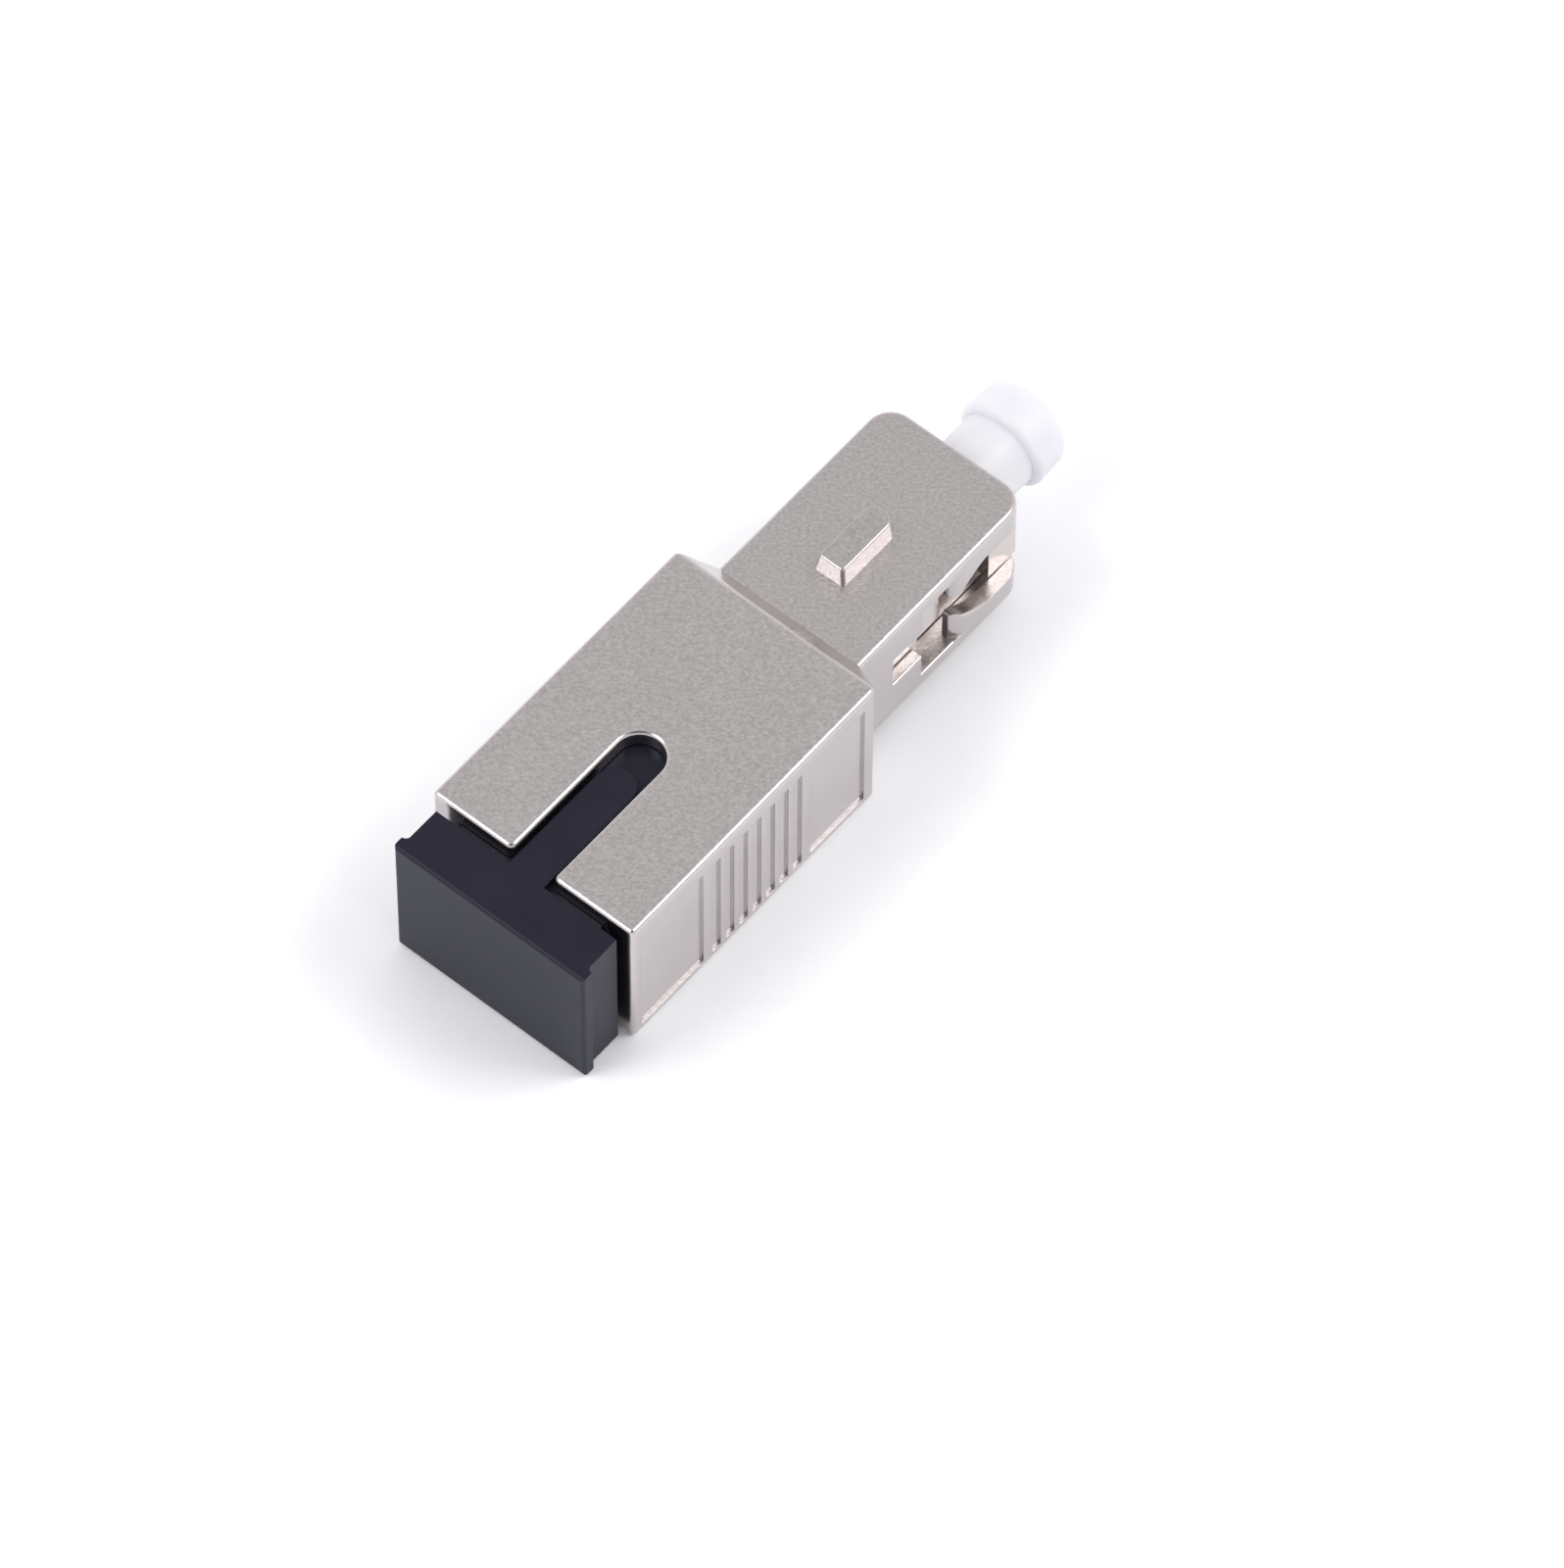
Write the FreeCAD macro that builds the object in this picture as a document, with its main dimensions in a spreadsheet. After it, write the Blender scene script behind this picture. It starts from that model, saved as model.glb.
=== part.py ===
import FreeCAD, Part
import math
import os
import Sketcher

# Plug-in fibre optic attenuator. Every piece is drawn about the optical axis: x runs from the
# receptacle's front face towards the plug end, y to the side, z up on the key's side.
# The finished part stands on the receptacle block, whose bottom face has its centre at the origin.

# Driving dimensions, in millimetres
SIZES = {
    # receptacle block, bevel and plug shell of the housing
    "body_length": "18.2",
    "body_width": "12.6",
    "body_height": "9.4",
    "bevel_length": "1.05",
    "bevel_bend": "0.2",
    "plug_length": "12.9",
    "plug_width": "8.96",
    "plug_height": "7.4",
    "edge_round": "0.25",
    "rim_round": "0.25",
    "mouth_round": "0.35",
    "plug_corner_round": "1.4",
    "plug_side_wall": "0.8",
    "plug_roof_wall": "0.7",
    # receptacle cavity and the wall behind it
    "cavity_clearance": "0.07",
    "cavity_depth": "14.2",
    "partition_length": "5.2",
    "barrel_bore": "5.4",
    "hook_pocket_start": "4.4",
    "hook_pocket_depth": "0.85",
    "hook_pocket_clearance": "0.2",
    # key slot of the receptacle and key of the plug shell
    "keyway_width": "2.55",
    "keyway_length": "9.25",
    "key_setback": "3.0",
    "key_length": "4.4",
    "key_width": "1.84",
    "key_height": "1.1",
    "key_draft": "9",
    "key_round": "0.18",
    "key_end_round": "0.85",
    # recessed grip panels and ribs on both sides of the block
    "panel_depth": "0.14",
    "panel_bottom_margin": "0.5",
    "panel_top_margin": "1.05",
    "panel_start": "0.6",
    "front_panel_length": "4.65",
    "rear_panel_length": "4.1",
    "end_rib_width": "0.65",
    "rib_width": "0.37",
    "groove_width": "0.65",
    # side windows of the plug shell, measured back from its front end
    "notch_setback": "10.25",
    "notch_height": "2.2",
    "window_setback": "8.05",
    "window_height": "5.5",
    "fin_setback": "5.55",
    "fin_gap": "0.85",
    "ramp_setback": "2.95",
    "ramp_radius": "4.6",
    "channel_height": "4.16",
    "fin_relief_depth": "0.45",
    "fin_relief_length": "0.75",
    "fin_relief_round": "1.2",
    "fin_tip_round": "0.2",
    "window_edge_round": "0.12",
    # dust plug
    "grip_projection": "3.28",
    "grip_gap": "0.45",
    "grip_height": "8.75",
    "grip_drop": "0.2",
    "neck_width": "11.34",
    "lip_width": "11.94",
    "lip_thickness": "0.65",
    "grip_edge_round": "0.22",
    "insert_depth": "9.8",
    "insert_clearance": "0.1",
    "insert_wall": "0.7",
    "insert_slot_start": "4.6",
    "insert_slot_clearance": "0.3",
    "tongue_length": "7.2",
    "tongue_clearance": "0.18",
    # latch insert
    "latch_fit": "0.05",
    "latch_flange_thickness": "1.2",
    "barrel_diameter": "4.9",
    "barrel_length": "6.1",
    "barrel_lip": "0.5",
    "spigot_fit": "0.03",
    "hook_reach": "7.4",
    "hook_width": "3.8",
    "hook_thickness": "0.85",
    "hook_wall_gap": "0.15",
    "hook_tooth_depth": "0.6",
    "hook_tooth_length": "1.2",
    # ferrule, fibre, split sleeve and retainer
    "ferrule_diameter": "2.5",
    "ferrule_length": "24.3",
    "ferrule_overhang": "5.05",
    "ferrule_chamfer": "0.35",
    "fibre_diameter": "0.125",
    "fibre_fit": "0.001",
    "sleeve_fit": "0.01",
    "sleeve_diameter": "3.2",
    "sleeve_length": "11",
    "sleeve_slit": "0.4",
    "sleeve_clearance": "0.06",
    "sleeve_end_play": "0.05",
    "ferrule_clearance": "0.2",
    # plug frame and spring stop
    "frame_side_clearance": "0.18",
    "frame_roof_clearance": "0.1",
    "frame_overhang": "0.35",
    "frame_rear_gap": "0.3",
    "frame_bore": "4.8",
    "front_bore_depth": "4.9",
    "web_thickness": "1.0",
    "frame_lead_in": "0.2",
    "lug_length": "2.3",
    "lug_height": "4",
    "hook_relief_depth": "0.6",
    "guide_length": "3.9",
    "rail_length": "2.1",
    "bump_length": "2.35",
    "bump_height": "0.3",
    "bump_clearance": "0.15",
    "bump_notch_gap": "0.25",
    "stop_flange_thickness": "0.6",
    "stop_spigot_length": "0.8",
    "stop_fit": "0.02",
    # ferrule flange and spring
    "collar_diameter": "4.5",
    "collar_length": "2.1",
    "flange_seat_gap": "0.1",
    "flange_neck_diameter": "3.2",
    "flange_neck_length": "1.6",
    "spring_wire": "0.4",
    "spring_diameter": "4.4",
    "spring_turns": "4",
    "spring_seat_gap": "0.03",
    # ferrule cap
    "cap_tube_diameter": "4.4",
    "cap_tube_length": "6.65",
    "cap_head_diameter": "5.3",
    "cap_head_length": "2.6",
    "cap_head_narrowing": "0.12",
    "cap_end_wall": "0.85",
    "cap_dome": "0.1",
    "cap_grip_fit": "0.03",
    "cap_shoulder_round": "0.4",
    "cap_end_round": "0.75",
}

# Places along the axis and shared cross-sections, worked out from the driving dimensions
PLACES = {
    "bevel_end": "size.body_length + size.bevel_length",
    "plug_end": "size.body_length + size.bevel_length + size.plug_length",
    "partition_end": "size.cavity_depth + size.partition_length",
    "cavity_width": "size.plug_width + 2 * size.cavity_clearance",
    "cavity_height": "size.plug_height + 2 * size.cavity_clearance",
    "shell_width": "size.plug_width - 2 * size.plug_side_wall",
    "shell_height": "size.plug_height - 2 * size.plug_roof_wall",
    "key_front": "size.body_length + size.bevel_length + size.key_setback",
    "first_groove": "size.panel_start + size.front_panel_length + size.end_rib_width",
    "latch_face": "size.cavity_depth - size.latch_flange_thickness",
    "hook_outer": "size.plug_width / 2 + size.cavity_clearance - size.hook_wall_gap",
    "ferrule_tip": "at.plug_end + size.ferrule_overhang",
    "ferrule_rear": "at.ferrule_tip - size.ferrule_length",
    "barrel_front": "at.latch_face - size.barrel_length",
    "sleeve_front": "at.barrel_front + size.barrel_lip + size.sleeve_end_play",
    "sleeve_rear": "at.sleeve_front + size.sleeve_length",
    "retainer_front": "at.sleeve_rear + size.sleeve_end_play",
    "ferrule_hole": "size.ferrule_diameter + 2 * size.ferrule_clearance",
    "frame_front": "at.plug_end + size.frame_overhang",
    "stop_rear": "at.partition_end + size.frame_rear_gap",
    "frame_rear": "at.stop_rear + size.stop_flange_thickness",
    "frame_width": "at.shell_width - 2 * size.frame_side_clearance",
    "frame_height": "at.shell_height - 2 * size.frame_roof_clearance",
    "lug_rear": "at.frame_front - size.lug_length",
    "web_front": "at.frame_front - size.front_bore_depth",
    "web_rear": "at.web_front - size.web_thickness",
    "guide_end": "at.frame_rear + size.guide_length",
    "bump_rear": "at.plug_end - size.notch_setback + size.bump_notch_gap",
    "bump_width": "size.notch_height - 2 * size.bump_clearance",
    "flange_front": "at.web_rear - size.flange_seat_gap",
    "flange_rear": "at.flange_front - size.collar_length",
    "spring_seat": "at.frame_rear + size.stop_spigot_length",
    "cap_end": "at.ferrule_tip + size.cap_end_wall",
    "cap_shoulder": "at.cap_end - size.cap_head_length",
    "cap_rear": "at.cap_shoulder - size.cap_tube_length",
}

# Repeats and working allowances
GROOVE_COUNT = 7
BEND_STEPS = 4
CUT_PAST = 1.0
NEAR = 1e-4

doc = FreeCAD.newDocument("attenuator")


def make_sheet(name, cells, prefix=""):
    """A sheet with one named cell a row."""
    sheet = doc.addObject("Spreadsheet::Sheet", name)
    for row, (alias, text) in enumerate(cells.items(), start=1):
        sheet.set(f"A{row}", alias)
        sheet.setAlias(f"B{row}", alias)
        sheet.set(f"B{row}", prefix + text)
        doc.recompute()
    return sheet


make_sheet("size", SIZES)
make_sheet("at", PLACES, "=")


def place(piece):
    """Sets a piece from the optical axis to the part's own frame."""
    piece.setExpression("Placement.Base.x", "-size.body_length / 2")
    piece.setExpression("Placement.Base.z", "size.body_height / 2")


def new_body(label):
    body = doc.addObject("PartDesign::Body", label)
    body.Label = label
    place(body)
    return body


def sketch_on(body, name, role, offset="0"):
    """An empty sketch on one of the body's own planes, moved along that plane's normal."""
    sketch = body.newObject("Sketcher::SketchObject", name)
    planes = [feature for feature in body.Origin.OriginFeatures if feature.Role == role]
    sketch.AttachmentSupport = [(planes[0], "")]
    sketch.MapMode = "FlatFace"
    sketch.setExpression("AttachmentOffset.Base.z", offset)
    return sketch


def bind(sketch, constraint, expression):
    index = sketch.addConstraint(constraint)
    sketch.setExpression(f"Constraints[{index}]", expression)


def arc_between(start, end, radius, turn):
    """The shorter arc of that radius from start to end, turning left (1) or right (-1)."""
    chord = end - start
    rise = math.sqrt(max(radius**2 - (chord.Length / 2) ** 2, 0.0))
    left = FreeCAD.Vector(-chord.y, chord.x, 0).normalize()
    centre = (start + end) / 2 + left * (rise * turn)
    first, last = (start, end) if turn > 0 else (end, start)
    angles = [math.atan2(point.y - centre.y, point.x - centre.x) for point in (first, last)]
    return Part.ArcOfCircle(Part.Circle(centre, FreeCAD.Vector(0, 0, 1), radius), *angles)


def outline(sketch, corners):
    """Adds a closed outline of (x, y) corners, or (x, y, radius, turn) where an arc leads to the next one."""
    base = sketch.GeometryCount
    count = len(corners)
    points = [FreeCAD.Vector(*[sketch.evalExpression(text) for text in corner[:2]], 0) for corner in corners]
    ends = []
    for i, corner in enumerate(corners):
        start, end = points[i], points[(i + 1) % count]
        if len(corner) == 2:
            sketch.addGeometry(Part.LineSegment(start, end), False)
            ends.append((1, 2))
        else:
            radius, turn = corner[2:]
            sketch.addGeometry(arc_between(start, end, sketch.evalExpression(radius), turn), False)
            ends.append((1, 2) if turn > 0 else (2, 1))
    for i, corner in enumerate(corners):
        following = (i + 1) % count
        sketch.addConstraint(
            Sketcher.Constraint("Coincident", base + i, ends[i][1], base + following, ends[following][0])
        )
        for kind, text, distance in zip(("DistanceX", "DistanceY"), corner, points[i]):
            bind(sketch, Sketcher.Constraint(kind, -1, 1, base + i, ends[i][0], distance), text)
        if len(corner) > 2:
            radius = sketch.evalExpression(corner[2])
            bind(sketch, Sketcher.Constraint("Radius", base + i, radius), corner[2])


def rectangle(sketch, low_x, high_x, low_y, high_y):
    outline(sketch, [(low_x, low_y), (high_x, low_y), (high_x, high_y), (low_x, high_y)])


def centred_rectangle(sketch, width, height):
    rectangle(sketch, f"-({width}) / 2", f"({width}) / 2", f"-({height}) / 2", f"({height}) / 2")


def rounded_rectangle(sketch, width, height, radius):
    """A centred rectangle with rounded corners."""
    right, top = f"({width}) / 2", f"({height}) / 2"
    inner_right, inner_top = f"({right} - {radius})", f"({top} - {radius})"
    outline(
        sketch,
        [
            (f"-{inner_right}", f"-{top}"),
            (inner_right, f"-{top}", radius, 1),
            (right, f"-{inner_top}"),
            (right, inner_top, radius, 1),
            (inner_right, top),
            (f"-{inner_right}", top, radius, 1),
            (f"-{right}", inner_top),
            (f"-{right}", f"-{inner_top}", radius, 1),
        ],
    )


def circle(sketch, diameter):
    """A circle about the sketch's origin."""
    width = sketch.evalExpression(diameter)
    centre = FreeCAD.Vector(0, 0, 0)
    index = sketch.addGeometry(Part.Circle(centre, FreeCAD.Vector(0, 0, 1), width / 2), False)
    sketch.addConstraint(Sketcher.Constraint("Coincident", index, 3, -1, 1))
    bind(sketch, Sketcher.Constraint("Diameter", index, width), diameter)


def extrude(body, kind, name, sketch, length, reverse=False):
    """A pad along the sketch's normal, or a pocket against it."""
    feature = body.newObject(f"PartDesign::{kind}", name)
    feature.Profile = sketch
    feature.setExpression("Length", length)
    feature.Reversed = reverse
    sketch.Visibility = False
    doc.recompute()
    return feature


def pad(body, name, sketch, length, reverse=False):
    return extrude(body, "Pad", name, sketch, length, reverse)


def pocket(body, name, sketch, length, reverse=False):
    """Cuts along a sketch and makes sure that material was taken away."""
    before = body.Tip.Shape.Volume
    feature = extrude(body, "Pocket", name, sketch, length, reverse)
    if not feature.Shape.Volume < before:
        raise RuntimeError(f"{body.Label}: {name} cuts nothing")
    return feature


def revolve(label, corners):
    """A body turned about the axis from an outline of (place along the axis, radius) corners."""
    body = new_body(label)
    profile = sketch_on(body, f"{label}_profile", "XY_Plane")
    outline(profile, corners)
    feature = body.newObject("PartDesign::Revolution", f"{label}_turned")
    feature.Profile = profile
    feature.ReferenceAxis = (profile, ["H_Axis"])
    feature.Angle = 360
    doc.recompute()
    return body


def dress(body, kind, name, size, wanted):
    """A fillet or chamfer on every edge of the body for which wanted(edge) is true."""
    base = body.Tip
    names = [f"Edge{i}" for i, edge in enumerate(base.Shape.Edges, start=1) if wanted(edge)]
    feature = body.newObject(f"PartDesign::{kind}", name)
    feature.Base = (base, names)
    feature.setExpression("Radius" if kind == "Fillet" else "Size", size)
    doc.recompute()
    return feature


def value(expression):
    return doc.getObject("size").evalExpression(expression)


def span(edge, axis):
    """The edge's lowest and highest coordinate on that axis."""
    box = edge.BoundBox
    return [(box.XMin, box.XMax), (box.YMin, box.YMax), (box.ZMin, box.ZMax)][axis]


def reach(edge, axis):
    """The edge's furthest distance from the axis' zero."""
    return max(abs(end) for end in span(edge, axis))


def lies_at(edge, axis, expression):
    """True if the whole edge has that coordinate."""
    return all(abs(end - value(expression)) < NEAR for end in span(edge, axis))


def lies_at_either(edge, axis, expression):
    """True if the whole edge has that coordinate, or its opposite."""
    return lies_at(edge, axis, expression) or lies_at(edge, axis, f"-({expression})")


def make_main_housing():
    body = new_body("main_housing")

    # plug shell as a solid form, from inside the block to its rounded front corners
    plan = sketch_on(body, "plug_plan", "XY_Plane", "-size.plug_height / 2")
    half, corner = "size.plug_width / 2", "size.plug_corner_round"
    outline(
        plan,
        [
            ("size.body_length / 2", f"-{half}"),
            (f"at.plug_end - {corner}", f"-{half}", corner, 1),
            ("at.plug_end", f"-{half} + {corner}"),
            ("at.plug_end", f"{half} - {corner}", corner, 1),
            (f"at.plug_end - {corner}", half),
            ("size.body_length / 2", half),
        ],
    )
    pad(body, "plug_shell", plan, "size.plug_height")

    def is_shell_rim(edge):
        inside_block = lies_at(edge, 0, "size.body_length / 2")
        return lies_at_either(edge, 2, "size.plug_height / 2") and not inside_block

    dress(body, "Fillet", "plug_rounds", "size.edge_round", is_shell_rim)

    # receptacle block with its key slot, open at the front and round at its end
    block = sketch_on(body, "block_section", "YZ_Plane")
    rounded_rectangle(block, "size.body_width", "size.body_height", "size.edge_round")
    pad(body, "block", block, "size.body_length - size.bevel_bend")
    top, side = "size.body_height / 2", "size.body_width / 2"
    slot = sketch_on(body, "keyway_plan", "XY_Plane", f"{top} + {CUT_PAST}")
    slot_half = "size.keyway_width / 2"
    outline(
        slot,
        [
            (f"-{CUT_PAST}", f"-{slot_half}"),
            (f"size.keyway_length - {slot_half}", f"-{slot_half}", slot_half, 1),
            ("size.keyway_length", "0", slot_half, 1),
            (f"size.keyway_length - {slot_half}", slot_half),
            (f"-{CUT_PAST}", slot_half),
        ],
    )
    pocket(body, "keyway", slot, f"{top} + {CUT_PAST}")
    dress(
        body,
        "Fillet",
        "mouth_rounds",
        "size.mouth_round",
        lambda edge: lies_at(edge, 0, "0") and lies_at_either(edge, 1, slot_half),
    )

    def is_rim(edge):
        straight_outside = lies_at_either(edge, 1, side) or lies_at_either(edge, 2, top)
        on_front = lies_at(edge, 0, "0") and (straight_outside or isinstance(edge.Curve, Part.Circle))
        near_slot = reach(edge, 1) < value(f"{slot_half} + size.mouth_round") + NEAR
        along_slot = lies_at(edge, 2, top) and edge.BoundBox.YLength < value("size.keyway_width")
        return on_front or (along_slot and near_slot)

    dress(body, "Fillet", "rim_rounds", "size.rim_round", is_rim)

    # bevel that leaves the block in a soft bend and runs on into the plug shell, as sections of a loft
    stations = []
    for step in range(BEND_STEPS + 1):
        share = step / BEND_STEPS
        run = f"size.body_length - size.bevel_bend + 2 * size.bevel_bend * {share}"
        stations.append((run, f"{share ** 2} * size.bevel_bend"))
    stations.append(("at.bevel_end + size.bevel_length / 2", "1.5 * size.bevel_length"))
    sections = []
    for i, (place_x, fall) in enumerate(stations):
        section = sketch_on(body, f"bevel_section_{i}", "YZ_Plane", place_x)
        rounded_rectangle(
            section,
            f"size.body_width - (size.body_width - size.plug_width) * ({fall}) / size.bevel_length",
            f"size.body_height - (size.body_height - size.plug_height) * ({fall}) / size.bevel_length",
            "size.edge_round",
        )
        sections.append(section)
    bevel = body.newObject("PartDesign::AdditiveLoft", "bevel")
    bevel.Profile = sections[0]
    bevel.Sections = sections[1:]
    bevel.Ruled = True
    doc.recompute()

    # key on top of the plug shell, with drafted sides, a square front and rounded corners at its far end
    key = sketch_on(body, "key_plan", "XY_Plane", "size.plug_height / 2 - size.edge_round")
    key_half, key_end = "size.key_width / 2", "at.key_front + size.key_length"
    outline(
        key,
        [
            ("at.key_front", f"-{key_half}"),
            (f"{key_end} - size.key_end_round", f"-{key_half}", "size.key_end_round", 1),
            (key_end, f"size.key_end_round - {key_half}"),
            (key_end, f"{key_half} - size.key_end_round", "size.key_end_round", 1),
            (f"{key_end} - size.key_end_round", key_half),
            ("at.key_front", key_half),
        ],
    )
    key_pad = pad(body, "key", key, "size.key_height + size.edge_round")
    key_pad.setExpression("TaperAngle", "-size.key_draft")
    doc.recompute()
    dress(
        body,
        "Fillet",
        "key_rounds",
        "size.key_round",
        lambda edge: lies_at(edge, 2, "size.plug_height / 2 + size.key_height"),
    )

    # receptacle cavity, pockets behind the latch hooks, bore of the partition, hollow of the plug shell
    cavity = sketch_on(body, "cavity_section", "YZ_Plane", "size.cavity_depth")
    centred_rectangle(cavity, "at.cavity_width", "at.cavity_height")
    pocket(body, "cavity", cavity, f"size.cavity_depth + {CUT_PAST}")
    relief = sketch_on(body, "hook_pocket_section", "YZ_Plane", "size.cavity_depth")
    centred_rectangle(
        relief,
        "at.cavity_width + 2 * size.hook_pocket_depth",
        "size.hook_width + 2 * size.hook_pocket_clearance",
    )
    pocket(body, "hook_pockets", relief, "size.cavity_depth - size.hook_pocket_start")
    bore = sketch_on(body, "barrel_bore_section", "YZ_Plane", "at.partition_end")
    circle(bore, "size.barrel_bore")
    pocket(body, "barrel_bore", bore, "size.partition_length")
    hollow = sketch_on(body, "shell_section", "YZ_Plane", f"at.plug_end + {CUT_PAST}")
    centred_rectangle(hollow, "at.shell_width", "at.shell_height")
    pocket(body, "shell_hollow", hollow, f"at.plug_end + {CUT_PAST} - at.partition_end")

    # grip panels and the grooves between their ribs, on both sides
    low, high = (
        "size.panel_bottom_margin - size.body_height / 2",
        "size.body_height / 2 - size.panel_top_margin",
    )
    pitch = "(size.groove_width + size.rib_width)"
    last_groove_end = f"at.first_groove + {GROOVE_COUNT - 1} * {pitch} + size.groove_width"
    rear_panel = f"{last_groove_end} + size.end_rib_width"
    for side, name, reverse in ((1, "right", False), (-1, "left", True)):
        grip = sketch_on(body, f"{name}_grip_recesses", "XZ_Plane", f"{side} * size.body_width / 2")
        rectangle(grip, "size.panel_start", "size.panel_start + size.front_panel_length", low, high)
        for i in range(GROOVE_COUNT):
            start = f"at.first_groove + {i} * {pitch}"
            rectangle(grip, start, f"{start} + size.groove_width", low, high)
        rectangle(grip, rear_panel, f"{rear_panel} + size.rear_panel_length", low, high)
        pocket(body, f"{name}_grip", grip, "size.panel_depth", reverse)

    # side windows: notch, tall window, release fins and the entry channel between them
    window = sketch_on(body, "window_outline", "XZ_Plane", f"size.plug_width / 2 + {CUT_PAST}")
    notch_x, window_x = "at.plug_end - size.notch_setback", "at.plug_end - size.window_setback"
    fin_x, ramp_x = "at.plug_end - size.fin_setback", "at.plug_end - size.ramp_setback"
    past_end = f"at.plug_end + {CUT_PAST}"
    notch, tall = "size.notch_height / 2", "size.window_height / 2"
    tip, channel = "size.fin_gap / 2", "size.channel_height / 2"
    outline(
        window,
        [
            (notch_x, f"-{notch}"),
            (window_x, f"-{notch}"),
            (window_x, f"-{tall}"),
            (fin_x, f"-{tall}"),
            (fin_x, f"-{tip}", "size.ramp_radius", 1),
            (ramp_x, f"-{channel}"),
            (past_end, f"-{channel}"),
            (past_end, channel),
            (ramp_x, channel, "size.ramp_radius", 1),
            (fin_x, tip),
            (fin_x, tall),
            (window_x, tall),
            (window_x, notch),
            (notch_x, notch),
        ],
    )
    pocket(body, "side_windows", window, f"size.plug_width + 2 * {CUT_PAST}")
    dress(
        body,
        "Fillet",
        "fin_tips",
        "size.fin_tip_round",
        lambda edge: lies_at(edge, 0, fin_x) and lies_at_either(edge, 2, tip),
    )

    def is_window_rim(edge):
        on_side = lies_at_either(edge, 1, "size.plug_width / 2")
        low_x, high_x = span(edge, 0)
        behind_channel = low_x > value(notch_x) - NEAR and high_x < value(ramp_x) + NEAR
        return on_side and behind_channel and reach(edge, 2) < value(tall) + NEAR

    dress(body, "Fillet", "window_rounds", "size.window_edge_round", is_window_rim)

    # outer faces of the fins, which curve in towards their tips
    lean = sketch_on(body, "fin_lean_plan", "XY_Plane", tall)
    outside, surface = f"size.plug_width / 2 + {CUT_PAST}", "size.plug_width / 2"
    for side in (1, -1):
        corners = [
            (fin_x, outside),
            (fin_x, f"{surface} - size.fin_relief_depth", "size.fin_relief_round", -side),
            (f"{fin_x} + size.fin_relief_length", surface),
            (f"{fin_x} + size.fin_relief_length", outside),
        ]
        outline(lean, [(x, f"{side} * ({y})", *arc) for x, y, *arc in corners])
    pocket(body, "fin_lean", lean, "size.window_height")
    return body


def make_dust_plug():
    body = new_body("dust_plug")

    # grip: a block with a lip at its front on both sides
    plan = sketch_on(body, "grip_plan", "XY_Plane", "-size.grip_height / 2 - size.grip_drop")
    front, lip_back = "-size.grip_projection", "size.lip_thickness - size.grip_projection"
    lip, neck = "size.lip_width / 2", "size.neck_width / 2"
    fillet = "(size.lip_width - size.neck_width) / 2"
    outline(
        plan,
        [
            (front, f"-{lip}"),
            (lip_back, f"-{lip}", fillet, -1),
            (f"{lip_back} + {fillet}", f"-{neck}"),
            ("-size.grip_gap", f"-{neck}"),
            ("-size.grip_gap", neck),
            (f"{lip_back} + {fillet}", neck, fillet, -1),
            (lip_back, lip),
            (front, lip),
        ],
    )
    pad(body, "grip", plan, "size.grip_height")
    dress(body, "Fillet", "grip_front_rounds", "size.grip_edge_round", lambda edge: lies_at(edge, 0, front))

    # hollow insert that fills the receptacle, slit at both sides for the latch hooks
    outer_width, outer_height = (
        f"at.cavity_{word} - 2 * size.insert_clearance" for word in ("width", "height")
    )
    insert = sketch_on(body, "insert_section", "YZ_Plane", "-size.grip_gap")
    centred_rectangle(insert, outer_width, outer_height)
    pad(body, "insert", insert, "size.insert_depth + size.grip_gap")
    hollow = sketch_on(body, "insert_hollow_section", "YZ_Plane", f"size.insert_depth + {CUT_PAST}")
    centred_rectangle(
        hollow, f"{outer_width} - 2 * size.insert_wall", f"{outer_height} - 2 * size.insert_wall"
    )
    pocket(body, "insert_hollow", hollow, f"size.insert_depth + {CUT_PAST}")
    slit = sketch_on(body, "hook_slit_section", "YZ_Plane", f"size.insert_depth + {CUT_PAST}")
    centred_rectangle(
        slit,
        f"{outer_width} + 2 * {CUT_PAST}",
        "size.hook_width + 2 * size.insert_slot_clearance",
    )
    pocket(body, "hook_slits", slit, f"size.insert_depth + {CUT_PAST} - size.insert_slot_start")

    # tongue in the key slot, level with the grip's top and round at its end
    tongue_root = f"({outer_height}) / 2 - size.insert_wall / 2"
    tongue = sketch_on(body, "tongue_plan", "XY_Plane", tongue_root)
    half = "(size.keyway_width / 2 - size.tongue_clearance)"
    outline(
        tongue,
        [
            ("-size.grip_gap", f"-{half}"),
            (f"size.tongue_length - {half}", f"-{half}", half, 1),
            ("size.tongue_length", "0", half, 1),
            (f"size.tongue_length - {half}", half),
            ("-size.grip_gap", half),
        ],
    )
    pad(body, "tongue", tongue, f"size.grip_height / 2 - size.grip_drop - ({tongue_root})")
    return body


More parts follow.
